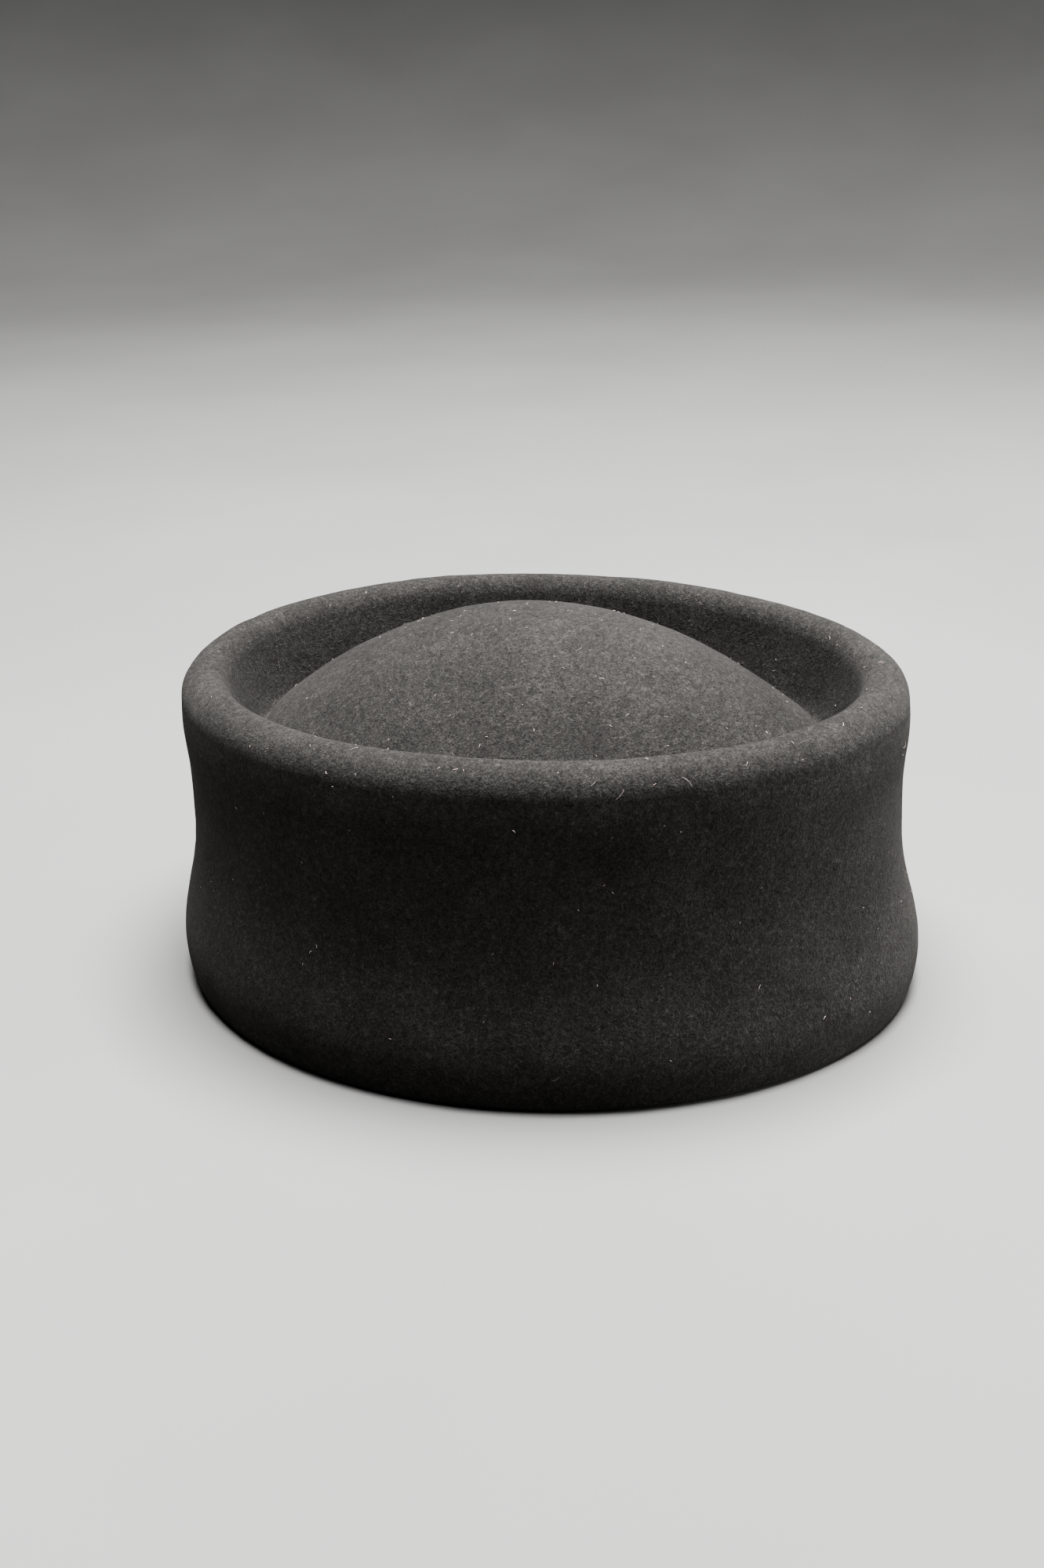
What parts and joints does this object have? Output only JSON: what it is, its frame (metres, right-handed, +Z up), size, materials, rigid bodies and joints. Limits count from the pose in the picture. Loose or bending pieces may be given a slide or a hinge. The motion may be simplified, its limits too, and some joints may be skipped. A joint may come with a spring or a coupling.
{
  "type": "pillbox hat",
  "caption": "Black wool-felt pillbox hat: waisted wall, rolled rim, sunken moat and domed centre, with wire, ribbon sweatband and satin lining.",
  "frame": {"origin": "middle of the plane that the hem rests on, at the middle of the hat's length and width", "axes": "+Z up through the dome, +Y towards the back of the hat (its wider end), +X to the wearer's left as worn facing -Y"},
  "size_m": [0.176, 0.207, 0.1],
  "materials": {
    "felt": "soft napped wool felt",
    "ribbon": "ribbed grosgrain",
    "satin": "soft-lustre satin",
    "thread": "twisted sewing thread",
    "label": "woven tape",
    "steel": "plain drawn wire"
  },
  "bodies": {
    "hat": {"felt_crown": "felt", "headline_wire": "steel", "wire_joiner": "steel", "wire_stitches": "thread", "sweatband": "ribbon", "sweatband_stitches": "thread", "bow_loops": "ribbon", "bow_knot": "ribbon", "bow_tack": "thread", "lining_side": "satin", "lining_tip": "satin", "lining_tacks": "thread", "tip_piping": "satin", "seam_stitches": "thread", "maker_label": "label", "size_label": "label", "label_stitches": "thread"},
    "care_tag": {"care_label": "label"}
  },
  "joints": [
    {"name": "care_tag_swing", "type": "hinge", "parent": "hat", "child": "care_tag", "pos_m": [0, 0.09219, 0.0551], "axis": [-1, 0, 0], "range_deg": [0, 90]}
  ]
}
